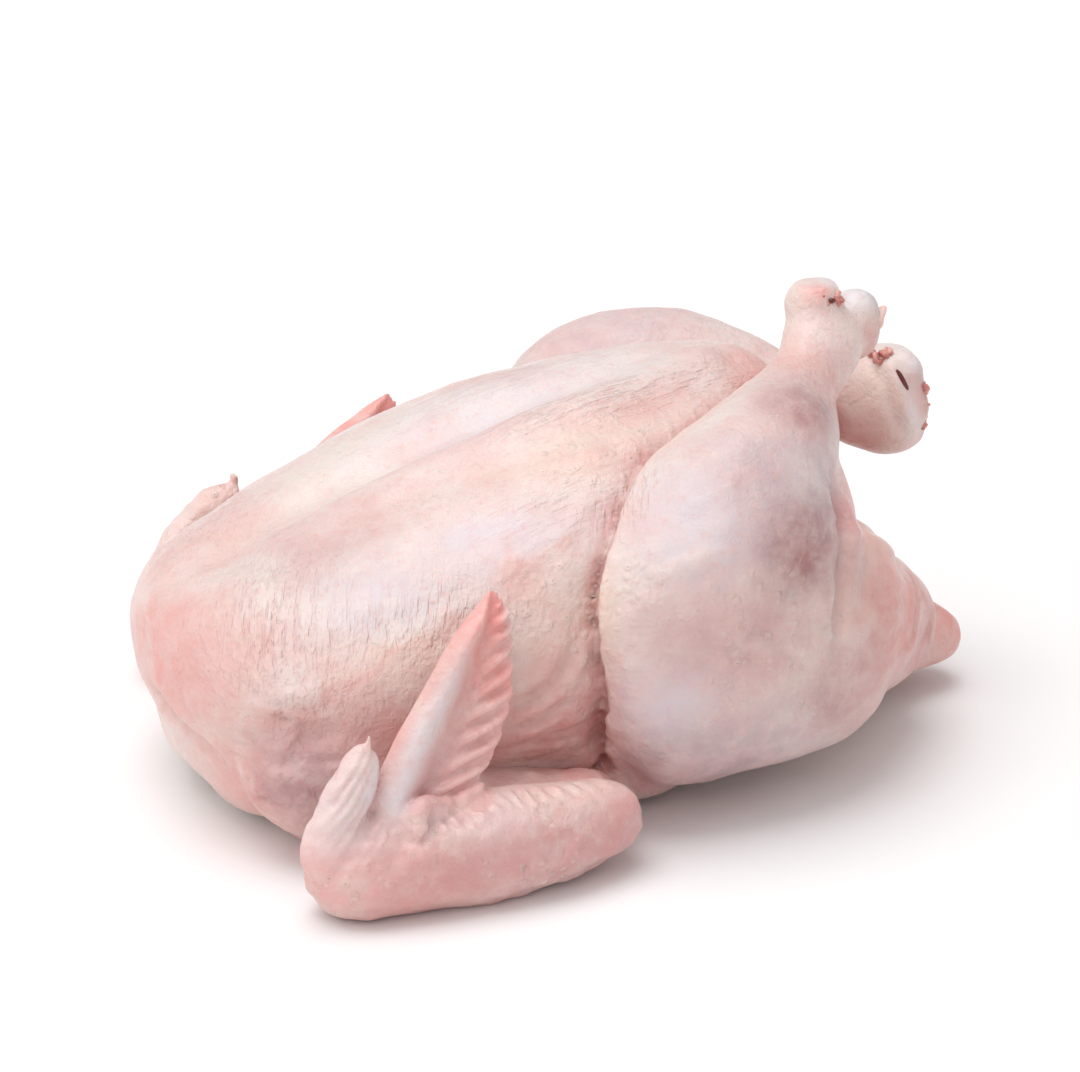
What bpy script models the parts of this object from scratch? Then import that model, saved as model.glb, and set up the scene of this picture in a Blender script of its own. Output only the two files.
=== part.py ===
"""Whole raw chicken, oven-ready: lying on its back with the breast up, one solid.

Every muscle group is a loft or an ellipsoid sized in millimetres. They overlap, a voxel
remesh fuses them under one skin, the body cavity is cut in from the tail end, and the
underside is planed flat where the bird rests.

The bird's neck end points to -X, its tail to +X and its breast to +Z.
"""

import math

import bmesh
import bpy
import numpy as np
from mathutils import Vector

MM = 0.001

# Driving dimensions, in millimetres.
BIRD_CENTRE_X = 14.0  # middle of the finished bird's length, moved onto the origin
SKIN_VOXEL = 1.6
SKIN_SMOOTHING = 4
SKIN_TRIANGLES = 7600
REST_CUT_Z = 0.6  # how deep the resting flats are planed
REST_SLAB = (400, 400, 40)
RING_SIDES = 28
RING_COUNT = 30


def clear_scene():
    for old in list(bpy.data.objects):
        bpy.data.objects.remove(old, do_unlink=True)


def catmull_rom(rows, count):
    """Rows interpolated smoothly through the given ones, denser towards both ends."""
    rows = np.asarray(rows, float)
    padded = np.vstack([2 * rows[0] - rows[1], rows, 2 * rows[-1] - rows[-2]])
    share = 0.5 * (1 - np.cos(np.pi * np.arange(count) / (count - 1)))
    along = share * (len(rows) - 1)
    start = np.minimum(along.astype(int), len(rows) - 2)
    t = (along - start)[:, None]
    p0, p1, p2, p3 = (padded[start + k] for k in range(4))
    return 0.5 * (
        2 * p1
        + (p2 - p0) * t
        + (2 * p0 - 5 * p1 + 4 * p2 - p3) * t**2
        + (3 * p1 - p0 - 3 * p2 + p3) * t**3
    )


def signed_power(value, power):
    return np.sign(value) * np.abs(value) ** power


def loft_rings(stations, up, squareness=2.0, edge_taper=0.0, upright=False):
    """Rings of points in millimetres through stations of (x, y, z, half width, half height).

    The half sizes are interpolated as squares, so an end with size 0 closes as a round cap.
    up is the direction of the half height. edge_taper thins the side towards +width.
    """
    rows = np.asarray(stations, float).copy()
    rows[:, 3:5] **= 2
    rows = catmull_rom(rows, RING_COUNT)
    centres = rows[:, :3]
    half = np.sqrt(np.maximum(rows[:, 3:5], 0))
    half[0] = half[-1] = 0
    tangents = np.gradient(centres, axis=0)
    if upright:
        tangents[:] = (1, 0, 0)
    tangents /= np.linalg.norm(tangents, axis=1, keepdims=True)
    side = np.cross(np.asarray(up, float), tangents)
    side /= np.linalg.norm(side, axis=1, keepdims=True)
    normal = np.cross(tangents, side)
    angle = 2 * math.pi * np.arange(RING_SIDES) / RING_SIDES
    across = signed_power(np.cos(angle), 2 / squareness)
    rise = signed_power(np.sin(angle), 2 / squareness) * (1 - edge_taper * np.cos(angle))
    return (
        centres[:, None]
        + half[:, 0, None, None] * across[None, :, None] * side[:, None]
        + half[:, 1, None, None] * rise[None, :, None] * normal[:, None]
    )


def add_rings(mesh, rings):
    """Adds a closed body of rings to the bmesh; its first and last ring are single points."""
    poles = [mesh.verts.new(rings[k][0] * MM) for k in (0, -1)]
    loops = [[mesh.verts.new(point * MM) for point in ring] for ring in rings[1:-1]]
    for lower, upper in zip(loops, loops[1:]):
        for k in range(RING_SIDES):
            nxt = (k + 1) % RING_SIDES
            mesh.faces.new((lower[k], lower[nxt], upper[nxt], upper[k]))
    for k in range(RING_SIDES):
        nxt = (k + 1) % RING_SIDES
        mesh.faces.new((poles[0], loops[0][nxt], loops[0][k]))
        mesh.faces.new((poles[1], loops[-1][k], loops[-1][nxt]))


def add_ellipsoid(mesh, centre, radii):
    """Adds an ellipsoid in millimetres."""
    made = bmesh.ops.create_uvsphere(mesh, u_segments=24, v_segments=14, radius=1)
    bmesh.ops.scale(mesh, vec=Vector(radii) * MM, verts=made["verts"])
    bmesh.ops.translate(mesh, vec=Vector(centre) * MM, verts=made["verts"])


# Breast: a wedge that is low at the neck and ends behind in the blunt keel tip.
BREAST = (
    (-110, 0, 45, 0, 0),
    (-104, 0, 43.5, 33, 18.5),
    (-90, 0, 39.5, 51, 32),
    (-65, 0, 42.5, 63, 40),
    (-30, 0, 48.5, 68, 48),
    (0, 0, 53.5, 67.5, 52),
    (30, 0, 62, 60, 47.5),
    (54, 0, 76.5, 42, 34),
    (70, 0, 85.5, 22, 19.5),
    (76.5, 0, 88, 0, 0),
)
KEEL_GROOVE_WIDTH = 9.0
KEEL_GROOVE = ((-110, 0), (-80, 3.5), (-40, 6.0), (0, 5.5), (30, 2.0), (50, -1.5), (80, -2.5))

# Back and pelvis: the flat-bottomed half of the body that the bird lies on.
BACK = (
    (-105, 0, 29, 0, 0),
    (-99, 0, 27, 29, 16),
    (-85, 0, 25.5, 48, 25),
    (-55, 0, 27.5, 58.5, 28),
    (0, 0, 29, 60, 30),
    (50, 0, 30, 56, 31),
    (85, 0, 31, 47, 29),
    (102, 0, 30, 35, 23),
    (111, 0, 28, 22, 15),
    (115, 0, 27, 0, 0),
)
# Abdomen: skin that slopes from the keel tip down to the vent opening.
ABDOMEN = (
    (40, 3, 70, 0, 0),
    (52, 4, 72, 29, 20),
    (72, 5, 66, 30, 20),
    (89, 4, 52, 28, 14),
    (100, 2, 44, 0, 0),
)
TAIL = (
    (98, 0, 20, 0, 0),
    (108, 0, 19, 20, 12),
    (119, 0, 17, 16, 11),
    (129, 0, 15.5, 12, 8.5),
    (136, 0, 16, 0, 0),
)
NEAR_RUMP = (
    (48, -42, 42, 0, 0),
    (58, -43, 43, 24, 24),
    (75, -41, 42, 25, 24.5),
    (88.5, -34, 37, 19.5, 21.8),
    (98, -28.5, 33.5, 16, 18.5),
    (105, -24.5, 31, 12.5, 14.5),
    (110.5, -21.5, 29, 7.5, 9),
    (113, -20, 28.5, 0, 0),
)
FAR_RUMP = (
    (52, 42, 42, 0, 0),
    (62, 43, 43, 24, 24),
    (79, 41, 42, 25, 24.5),
    (91, 34, 37, 19.5, 21.8),
    (99, 29, 33.5, 16, 18),
    (105, 25.5, 31, 12, 13.5),
    (109, 23, 29.5, 7, 8),
    (111, 22, 29, 0, 0),
)
# Rounded lumps: centre and radii.
SHOULDERS = (((-70, -44, 25), (28, 21, 22)), ((-64, 44, 25), (28, 21, 22)))
THIGH_FOLDS = (((12, -44, 14), (21, 17, 12)), ((16, 44, 14), (21, 17, 12)))
KNUCKLES = (
    ((81, -9.5, 125.5), (7, 7.5, 6.5)),
    ((97.5, -7.5, 117.5), (7, 7.5, 7)),
    ((119, 12, 93.5), (6.5, 7, 6.5)),
    ((122.5, 9.5, 77), (6, 6.5, 7)),
)
THIGH = (
    (-5, -54, 44, 0, 0),
    (-2, -54, 44.5, 20, 26),
    (8, -54, 46, 27.5, 33.5),
    (26, -52.5, 45.5, 30.5, 36.5),
    (46, -49.5, 45, 32.5, 36),
    (68, -44.5, 43, 29.5, 33),
    (82, -40, 40, 20, 25),
    (90, -37, 38, 0, 0),
)
# Skin stretched between the thigh and the drumstick, with its hind edge upright.
LEG_SKIN = (
    (64, -30, 106, 0, 0),
    (63, -34, 96, 9, 9),
    (58, -43, 82, 19, 19),
    (50, -51, 67, 27, 27),
    (45, -51, 50, 26, 28),
    (45, -50, 38, 0, 0),
)
NEAR_DRUMSTICK = (
    (-4, -57, 52, 0, 0),
    (5, -58, 59, 18, 19),
    (20, -58, 67, 25.5, 26),
    (38, -54, 81, 27, 27.5),
    (54, -43, 94.5, 19.5, 20),
    (68, -29, 104.5, 12.2, 12),
    (77, -21.5, 110, 10.8, 9.4),
    (84, -15, 115, 13, 11),
    (89.5, -10.5, 119.5, 14.8, 11.5),
    (92.5, -8, 122, 12.5, 9.5),
    (94.5, -6.5, 123.5, 0, 0),
)
FAR_DRUMSTICK = (
    (20, 62, 63, 0, 0),
    (29, 64, 69, 18, 17.5),
    (48, 65.5, 75, 25, 24.5),
    (67, 59, 78, 25.5, 25.5),
    (84, 44, 80, 19, 19.5),
    (95, 32, 82, 11.5, 12),
    (103, 24.5, 83, 9.2, 9.6),
    (110, 18.5, 83.5, 13, 14),
    (117, 14, 84, 15, 16),
    (123, 10.5, 84, 14, 15),
    (126, 9, 84, 10, 11),
    (127.5, 8.5, 84, 0, 0),
)
# Wing: the upper arm runs back along the body, the forearm forward again, and the hand up.
UPPER_ARM = (
    (-86, -34, 20, 0, 0),
    (-76, -42, 18, 15, 15),
    (-50, -56, 14, 16, 13),
    (-22, -66, 12, 13, 11),
    (-8, -72, 12, 11, 11),
    (0, -75, 12.5, 0, 0),
)
FOREARM = (
    (0, -81, 15.5, 0, 0),
    (-4, -81.5, 15.2, 8, 8.2),
    (-14, -83.5, 14.8, 11.2, 11.6),
    (-30, -86, 14.6, 13.2, 13.8),
    (-50, -87, 15, 14, 15),
    (-70, -86, 14.5, 13.5, 14.5),
    (-84, -84.5, 16, 12, 15),
    (-93, -84, 18, 0, 0),
)
THUMB = (
    (-90, -85, 12, 0, 0),
    (-88.5, -87, 20, 7.2, 6.8),
    (-86, -88.5, 29, 7, 6.2),
    (-82.5, -88.5, 38, 6.6, 5.2),
    (-79.6, -88, 44, 5.2, 4.5),
    (-77.8, -88, 49, 2.6, 2.4),
    (-77.2, -88, 51.5, 0, 0),
)
# The wing tip is a leaf between its leading and trailing edges, thick over the bone.
HAND_LEAD = (
    (-79, -88, 16),
    (-77.5, -88, 26),
    (-75.5, -86.5, 36),
    (-69.5, -83.5, 46),
    (-61, -79.5, 55.5),
    (-50, -75, 68),
    (-42.5, -72, 74.5),
    (-37, -70, 79),
)
HAND_TRAIL = (
    (-62, -92, 14),
    (-54, -88, 25),
    (-45, -84, 34.5),
    (-38, -80, 45),
    (-34, -76, 55),
    (-32.3, -72.5, 65),
    (-33.5, -71, 73),
    (-37, -70, 79),
)
HAND_HALF_THICKNESS = 1.9
HAND_BONE_HEIGHT = 3.0
# Web of the wing tip, rolled up where it joins the forearm.
WEB_ROLL = (
    (-45, -85, 32, 0, 0),
    (-49, -87, 29.5, 2.6, 2.6),
    (-54, -89, 28, 3.1, 3),
    (-59.5, -91, 28.8, 3.3, 3.2),
    (-64, -92.3, 30.6, 3.2, 3.2),
    (-67.2, -93.3, 28.6, 3.2, 3.2),
    (-67.2, -94, 25, 3, 3),
    (-65, -94, 21.5, 0, 0),
)
FAR_WING_SHIFT = 6
FAR_THIGH_SHIFT = 4
# How far the tips of the far hand and thumb lean past the near ones, mirrored.
FAR_HAND_LEAN = (21, 7, 4)
FAR_HAND_TOP = 85
FAR_THUMB_LEAN = (17, 0, 8)
FAR_THUMB_TOP = 55
WING_ROOT_Z = 12

# Directions of the half heights, and squareness of the sections (2 is an ellipse).
UPRIGHT = (0, 0, 1)
ACROSS = (0, 1, 0)
SHIN_UP = (-0.25, 0.8, -0.4)
THUMB_UP = (0.2, -1, 0.2)
FAR_THUMB_UP = (0.2, 1, 0.2)
BREAST_SQUARENESS = 2.15
BACK_SQUARENESS = 2.5
BODY_SQUARENESS = 2.2


def mirrored(stations, shift=0, lean=(0, 0, 0), top=1):
    """The stations on the far side, moved along X, and by lean as they rise towards top."""
    rows = np.asarray(stations, float).copy()
    rows[:, 1] *= -1
    rows[:, 0] += shift
    share = np.clip((rows[:, 2] - WING_ROOT_Z) / (top - WING_ROOT_Z), 0, 1) ** 0.8 if top > 1 else 0 * rows[:, 2]
    rows[:, :3] += share[:, None] * lean
    return rows


def blade_rings(lead, trail, outward):
    """Rings of a leaf between two edges: thick over the bone, thin at the trailing edge."""
    angle = 2 * math.pi * np.arange(RING_SIDES) / RING_SIDES
    share = 0.5 * (1 - np.cos(angle))[None]
    start, end = catmull_rom(lead, RING_COUNT), catmull_rom(trail, RING_COUNT)
    across = end - start
    width = np.linalg.norm(across, axis=1)[:, None]
    face = np.cross(across, np.gradient((start + end) / 2, axis=0)) * -outward
    face /= np.maximum(np.linalg.norm(face, axis=1, keepdims=True), 1e-9)
    bone = HAND_BONE_HEIGHT * np.exp(-(((share - 0.2) / 0.19) ** 2))
    rise = (HAND_HALF_THICKNESS + bone) * np.sqrt(1 - np.abs(2 * share - 1) ** 5)
    rise = np.where(angle < math.pi, rise, -rise) * np.minimum(1, width / 11)
    rings = start[:, None] + share[..., None] * across[:, None] + rise[..., None] * face[:, None]
    for k in (0, -1):
        rings[k] = rings[k].mean(axis=0)
    return rings


def groove_the_keel(rings):
    """Sinks the breast along its midline, or raises it where the groove depth is negative."""
    depth = np.interp(rings[..., 0], *zip(*KEEL_GROOVE))
    top = np.clip((rings[..., 2] - 60) / 15, 0, 1)
    rings[..., 2] -= depth * top * np.exp(-((rings[..., 1] / KEEL_GROOVE_WIDTH) ** 2))
    return rings


def add_torso(mesh):
    add_rings(mesh, groove_the_keel(loft_rings(BREAST, UPRIGHT, BREAST_SQUARENESS, upright=True)))
    add_rings(mesh, loft_rings(BACK, UPRIGHT, BACK_SQUARENESS, upright=True))
    add_rings(mesh, loft_rings(ABDOMEN, UPRIGHT, BODY_SQUARENESS))
    add_rings(mesh, loft_rings(TAIL, UPRIGHT, BODY_SQUARENESS))
    for stations in (NEAR_RUMP, FAR_RUMP):
        add_rings(mesh, loft_rings(stations, UPRIGHT))
    for centre, radii in SHOULDERS:
        add_ellipsoid(mesh, centre, radii)


def add_legs(mesh):
    add_rings(mesh, loft_rings(THIGH, UPRIGHT, BODY_SQUARENESS))
    add_rings(mesh, loft_rings(mirrored(THIGH, FAR_THIGH_SHIFT), UPRIGHT, BODY_SQUARENESS))
    add_rings(mesh, loft_rings(LEG_SKIN, ACROSS, BODY_SQUARENESS))
    add_rings(mesh, loft_rings(NEAR_DRUMSTICK, SHIN_UP))
    add_rings(mesh, loft_rings(FAR_DRUMSTICK, UPRIGHT))
    for centre, radii in (*THIGH_FOLDS, *KNUCKLES):
        add_ellipsoid(mesh, centre, radii)


def add_wings(mesh):
    for stations in (UPPER_ARM, FOREARM):
        add_rings(mesh, loft_rings(stations, UPRIGHT))
        add_rings(mesh, loft_rings(mirrored(stations, FAR_WING_SHIFT), UPRIGHT))
    far_hand = (FAR_WING_SHIFT, FAR_HAND_LEAN, FAR_HAND_TOP)
    add_rings(mesh, blade_rings(HAND_LEAD, HAND_TRAIL, -1))
    add_rings(mesh, blade_rings(mirrored(HAND_LEAD, *far_hand), mirrored(HAND_TRAIL, *far_hand), 1))
    add_rings(mesh, loft_rings(WEB_ROLL, ACROSS))
    add_rings(mesh, loft_rings(mirrored(WEB_ROLL, FAR_WING_SHIFT), ACROSS))
    add_rings(mesh, loft_rings(THUMB, THUMB_UP))
    far_thumb = mirrored(THUMB, FAR_WING_SHIFT, FAR_THUMB_LEAN, FAR_THUMB_TOP)
    add_rings(mesh, loft_rings(far_thumb, FAR_THUMB_UP))


def new_object(name, mesh, collection):
    """An object from a bmesh, its faces turned outwards, linked to the collection."""
    bmesh.ops.recalc_face_normals(mesh, faces=mesh.faces)
    data = bpy.data.meshes.new(name)
    mesh.to_mesh(data)
    mesh.free()
    made = bpy.data.objects.new(name, data)
    collection.objects.link(made)
    return made


def cutter(name, mesh, collection):
    made = new_object(name, mesh, collection)
    made.hide_render = True
    made.display_type = "WIRE"
    return made


CAVITY = (
    (132, 0, 48, 0, 0),
    (126, 0, 47, 19, 13),
    (108, 0, 44, 20, 14),
    (80, 0, 40, 26, 19),
    (50, 0, 38, 25, 19),
    (34, 0, 38, 0, 0),
)


def cavity_cutter(collection):
    mesh = bmesh.new()
    add_rings(mesh, loft_rings(CAVITY, UPRIGHT, BODY_SQUARENESS))
    return cutter("cavity_cutter", mesh, collection)


def rest_cutter(collection):
    """A slab whose top planes the underside flat."""
    mesh = bmesh.new()
    bmesh.ops.create_cube(mesh, size=1)
    bmesh.ops.scale(mesh, vec=Vector(REST_SLAB) * MM, verts=mesh.verts)
    bmesh.ops.translate(mesh, vec=(BIRD_CENTRE_X * MM, 0, (REST_CUT_Z - REST_SLAB[2] / 2) * MM), verts=mesh.verts)
    return cutter("rest_cutter", mesh, collection)


def skin_material():
    material = bpy.data.materials.new("raw_skin")
    material.use_nodes = True
    shader = material.node_tree.nodes["Principled BSDF"]
    shader.inputs["Base Color"].default_value = (0.78, 0.52, 0.46, 1)
    shader.inputs["Roughness"].default_value = 0.45
    shader.inputs["Metallic"].default_value = 0.0
    return material


def remesh(obj, name):
    step = obj.modifiers.new(name, "REMESH")
    step.mode = "VOXEL"
    step.voxel_size = SKIN_VOXEL * MM


def cut(obj, tool, name):
    step = obj.modifiers.new(name, "BOOLEAN")
    step.operation = "DIFFERENCE"
    step.solver = "EXACT"
    step.object = tool


def build_chicken():
    parts = bpy.data.collections.new("chicken")
    tools = bpy.data.collections.new("cutters")
    for collection in (parts, tools):
        bpy.context.scene.collection.children.link(collection)
    mesh = bmesh.new()
    add_torso(mesh)
    add_legs(mesh)
    add_wings(mesh)
    chicken = new_object("chicken", mesh, parts)
    chicken.data.materials.append(skin_material())

    remesh(chicken, "fuse_skin")
    cut(chicken, cavity_cutter(tools), "body_cavity")
    remesh(chicken, "even_rim")
    soften = chicken.modifiers.new("soften_creases", "SMOOTH")
    soften.factor = 0.5
    soften.iterations = SKIN_SMOOTHING
    thin = chicken.modifiers.new("thin_triangles", "DECIMATE")
    thin.ratio = SKIN_TRIANGLES / count_triangles(chicken)
    cut(chicken, rest_cutter(tools), "resting_flats")
    for obj in (chicken, *tools.objects):
        obj.location = (-BIRD_CENTRE_X * MM, 0, -REST_CUT_Z * MM)


def count_triangles(obj):
    """Triangles of the object with the modifiers that it has so far."""
    bpy.context.view_layer.update()
    evaluated = obj.evaluated_get(bpy.context.evaluated_depsgraph_get())
    mesh = evaluated.to_mesh()
    mesh.calc_loop_triangles()
    count = len(mesh.loop_triangles)
    evaluated.to_mesh_clear()
    return count


clear_scene()
build_chicken()
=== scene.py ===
import math

import bpy
import numpy as np
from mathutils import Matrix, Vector


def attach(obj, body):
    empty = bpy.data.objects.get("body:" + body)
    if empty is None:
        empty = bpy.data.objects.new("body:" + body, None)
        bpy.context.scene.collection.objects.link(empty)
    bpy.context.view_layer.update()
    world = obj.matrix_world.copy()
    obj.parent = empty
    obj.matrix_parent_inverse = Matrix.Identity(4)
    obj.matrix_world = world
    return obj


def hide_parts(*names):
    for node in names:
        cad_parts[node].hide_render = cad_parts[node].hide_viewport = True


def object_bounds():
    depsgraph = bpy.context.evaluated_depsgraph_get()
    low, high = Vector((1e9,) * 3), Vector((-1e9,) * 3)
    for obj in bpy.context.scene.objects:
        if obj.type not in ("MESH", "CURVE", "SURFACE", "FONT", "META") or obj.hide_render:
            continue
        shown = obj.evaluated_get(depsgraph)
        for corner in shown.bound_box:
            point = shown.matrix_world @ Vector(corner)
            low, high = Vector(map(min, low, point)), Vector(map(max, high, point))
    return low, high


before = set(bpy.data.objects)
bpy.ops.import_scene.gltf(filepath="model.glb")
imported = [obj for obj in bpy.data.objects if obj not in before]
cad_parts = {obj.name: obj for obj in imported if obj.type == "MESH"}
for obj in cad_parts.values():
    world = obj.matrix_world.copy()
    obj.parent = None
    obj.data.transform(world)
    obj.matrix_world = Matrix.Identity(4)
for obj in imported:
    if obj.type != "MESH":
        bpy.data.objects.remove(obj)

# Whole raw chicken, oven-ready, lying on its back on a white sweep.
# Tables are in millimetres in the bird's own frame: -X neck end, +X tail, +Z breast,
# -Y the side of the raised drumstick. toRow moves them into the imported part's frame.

cadBox = [list(corner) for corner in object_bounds()]
birdOrigin = np.array([14.0, 0.0, 0.6])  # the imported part's origin, in the bird's frame
mm = 0.001


def toRow(points):
    return (np.asarray(points, float) - birdOrigin) * mm


def keptInBox(points, ease=1.5, margin=0.05):
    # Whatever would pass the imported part's box is eased back within its last 1.5 mm; the
    # floor side stays as it is.
    low, high = (np.array(corner) / mm + birdOrigin for corner in cadBox)
    high, low = high - margin, low + margin
    over = np.maximum(points - (high - ease), 0)
    under = np.maximum(low + ease - points, 0) * (1, 1, 0)
    back = (over - ease * (1 - np.exp(-over / ease))) - (under - ease * (1 - np.exp(-under / ease)))
    return points - back


# Small maths.

def smoothPath(rows, count):
    # Catmull-Rom through the rows, sampled more densely towards both ends.
    rows = np.asarray(rows, float)
    padded = np.vstack([2 * rows[0] - rows[1], rows, 2 * rows[-1] - rows[-2]])
    share = 0.5 * (1 - np.cos(np.pi * np.arange(count) / (count - 1)))
    along = share * (len(rows) - 1)
    start = np.minimum(along.astype(int), len(rows) - 2)
    t = (along - start)[:, None]
    p0, p1, p2, p3 = (padded[start + k] for k in range(4))
    return 0.5 * (2 * p1 + (p2 - p0) * t + (2 * p0 - 5 * p1 + 4 * p2 - p3) * t**2
                  + (3 * p1 - p0 - 3 * p2 + p3) * t**3)


def unit(vectors):
    return vectors / np.maximum(np.linalg.norm(vectors, axis=-1, keepdims=True), 1e-12)


def fade(value, low, high):
    # 0 below low, 1 above high, an S-curve between.
    t = np.clip((value - low) / (high - low), 0, 1)
    return t * t * (3 - 2 * t)


def noise(points, size, seed=0):
    # Smooth value noise from -1 to 1: a hashed value at each corner of cubes of the given
    # size in mm, blended with a cubic fade.
    cell = points / size + 31.7 * seed
    base = np.floor(cell).astype(np.int64)
    f = cell - base
    f = f * f * (3 - 2 * f)
    total = np.zeros(len(points))
    for corner in range(8):
        step = np.array([corner & 1, corner >> 1 & 1, corner >> 2 & 1])
        key = ((base + step) * (73856093, 19349663, 83492791)).sum(1) + 1013 * seed
        key = (key ^ (key >> 13)) * 1274126177 & 0xFFFFFFFF
        key = (key ^ (key >> 15)) * 2246822519 & 0xFFFFFFFF
        value = (key >> 8 & 0xFFFF) / 32767.5 - 1
        total += value * np.where(step, f, 1 - f).prod(1)
    return total


def bell(value, width):
    # A Gaussian: 1 at 0 and 1/e at the width on either side.
    return np.exp(-((value / width) ** 2))


def lumps(points, rows):
    # Noise in several sizes, added up.
    return sum(high * noise(points, size, seed) for high, size, seed in rows)


def spot(points, centre, radii):
    # 1 at the centre, falling off as a Gaussian over the three radii.
    return np.exp(-(((points - centre) / radii) ** 2).sum(-1))


def lineField(points, path):
    # Distance in mm from each point to a polyline, and how far along it the nearest place is.
    path = np.asarray(path, float)
    lengths = np.linalg.norm(np.diff(path, axis=0), axis=1)
    starts = np.concatenate([[0], np.cumsum(lengths)])
    best = np.full(len(points), 1e9)
    along = np.zeros(len(points))
    for a, b, length, start in zip(path, path[1:], lengths, starts):
        t = np.clip(((points - a) @ (b - a)) / length**2, 0, 1)
        gap = np.linalg.norm(points - a - t[:, None] * (b - a), axis=1)
        near = gap < best
        best = np.where(near, gap, best)
        along = np.where(near, start + t * length, along)
    return best, along / starts[-1]


# Shells and skins.

def loft(stations, up=(0, 0, 1), square=2.0, upright=False, rings=56, sides=44):
    # A closed body through stations of (x, y, z, half width, half height). Half sizes are
    # smoothed as squares, so a zero closes as a round cap; each ring is a superellipse.
    rows = np.asarray(stations, float).copy()
    rows[:, 3:5] **= 2
    rows = smoothPath(rows, rings)
    centres = rows[:, :3]
    half = np.sqrt(np.maximum(rows[:, 3:5], 0))
    half[0] = half[-1] = 0
    tangents = np.gradient(centres, axis=0)
    if upright:
        tangents[:] = (1, 0, 0)
    tangents = unit(tangents)
    side = unit(np.cross(np.asarray(up, float), tangents))
    normal = np.cross(tangents, side)
    angle = 2 * np.pi * np.arange(sides) / sides
    bend = lambda wave: np.sign(wave) * np.abs(wave) ** (2 / square)
    across = bend(np.cos(angle))
    rise = bend(np.sin(angle))
    return (centres[:, None] + half[:, 0, None, None] * across[None, :, None] * side[:, None]
            + half[:, 1, None, None] * rise[None, :, None] * normal[:, None])


def ball(centre, radii, rings=24, sides=36):
    # An ellipsoid as rings of points about its Z axis.
    polar = np.pi * np.arange(rings) / (rings - 1)
    angle = 2 * np.pi * np.arange(sides) / sides
    shape = np.stack([np.sin(polar)[:, None] * np.cos(angle), np.sin(polar)[:, None] * np.sin(angle),
                      np.cos(polar)[:, None] * np.ones(sides)], -1)
    return np.asarray(centre) + shape * radii


def tubeQuads(rings, sides, first=0):
    # Faces of a tube of rings, numbered ring by ring.
    ring, side = np.meshgrid(np.arange(rings - 1), np.arange(sides), indexing="ij")
    nxt = (side + 1) % sides
    quads = np.stack([ring * sides + side, ring * sides + nxt,
                      (ring + 1) * sides + nxt, (ring + 1) * sides + side], -1)
    return quads.reshape(-1, 4) + first


def meshOf(name, points, quads):
    data = bpy.data.meshes.new(name)
    data.vertices.add(len(points))
    data.vertices.foreach_set("co", np.ascontiguousarray(points, np.float32).ravel())
    data.loops.add(quads.size)
    data.loops.foreach_set("vertex_index", quads.ravel().astype(np.int32))
    data.polygons.add(len(quads))
    data.polygons.foreach_set("loop_start", np.arange(0, quads.size, 4, dtype=np.int32))
    data.update(calc_edges=True)
    return data


def readMesh(data):
    points = np.empty(len(data.vertices) * 3, np.float32)
    data.vertices.foreach_get("co", points)
    corners = np.empty(len(data.loops), np.int32)
    data.loops.foreach_get("vertex_index", corners)
    return points.reshape(-1, 3).astype(float) / mm, corners.reshape(-1, 4)


def linked(name, data):
    made = bpy.data.objects.new(name, data)
    bpy.context.scene.collection.objects.link(made)
    return made


def quadSoup(name, points, quads):
    return linked(name, meshOf(name, points * mm, quads))


def shellObject(name, shells):
    # Shells are arrays of rings; each becomes a closed tube whose end rings are points.
    points, quads, first = [], [], 0
    for shell in shells:
        rings, sides = shell.shape[:2]
        points.append(shell.reshape(-1, 3))
        quads.append(tubeQuads(rings, sides, first))
        first += rings * sides
    return quadSoup(name, np.vstack(points), np.vstack(quads))


def fuse(parts, voxel, hollow=None):
    # Joins closed bodies under one skin of even quads, voxel mm apart. hollow is cut out.
    made = parts[0]
    if len(parts) > 1:
        with bpy.context.temp_override(active_object=made, selected_editable_objects=parts,
                                       selected_objects=parts, object=made):
            bpy.ops.object.join()

    def remesh():
        step = made.modifiers.new("fuse", "REMESH")
        step.mode = "VOXEL"
        step.voxel_size = voxel * mm

    remesh()
    if hollow:
        step = made.modifiers.new("hollow", "BOOLEAN")
        step.operation, step.solver, step.object = "DIFFERENCE", "EXACT", hollow
        remesh()
    data = bpy.data.meshes.new_from_object(made.evaluated_get(bpy.context.evaluated_depsgraph_get()))
    points, quads = readMesh(data)
    for old in (made, hollow):
        if old:
            bpy.data.objects.remove(old)
    bpy.data.meshes.remove(data)
    return points, quads


def neighbourMean(values, quads):
    # Mean over each vertex's neighbours; in a closed skin every edge leaves its vertex once.
    here, there = quads.ravel(), np.roll(quads, -1, 1).ravel()
    count = np.bincount(here, minlength=len(values))
    if values.ndim == 1:
        return np.bincount(here, values[there], len(values)) / count
    return np.stack([np.bincount(here, values[there, k], len(values)) / count for k in range(3)], 1)


def blurred(values, quads, rounds):
    # The mean over the neighbours, taken again and again.
    for _ in range(rounds):
        values = neighbourMean(values, quads)
    return values


def relax(points, quads, rounds):
    # Irons out creases and steps without shrinking: one pass in, one slightly stronger back.
    for k in range(rounds * 2):
        points = points + (neighbourMean(points, quads) - points) * (0.6 if k % 2 == 0 else -0.61)
    return points


def normalsOf(points, quads):
    a, b, c, d = (points[quads[:, k]] for k in range(4))
    face = np.cross(c - a, d - b)
    total = np.stack([sum(np.bincount(quads[:, k], face[:, i], len(points)) for k in range(4))
                      for i in range(3)], 1)
    return unit(total)


def hollowness(points, quads, rounds):
    # How sunk each vertex is against the skin around it, in mm; positive in a crease.
    return ((blurred(points, quads, rounds) - points) * normalsOf(points, quads)).sum(1)


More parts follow.
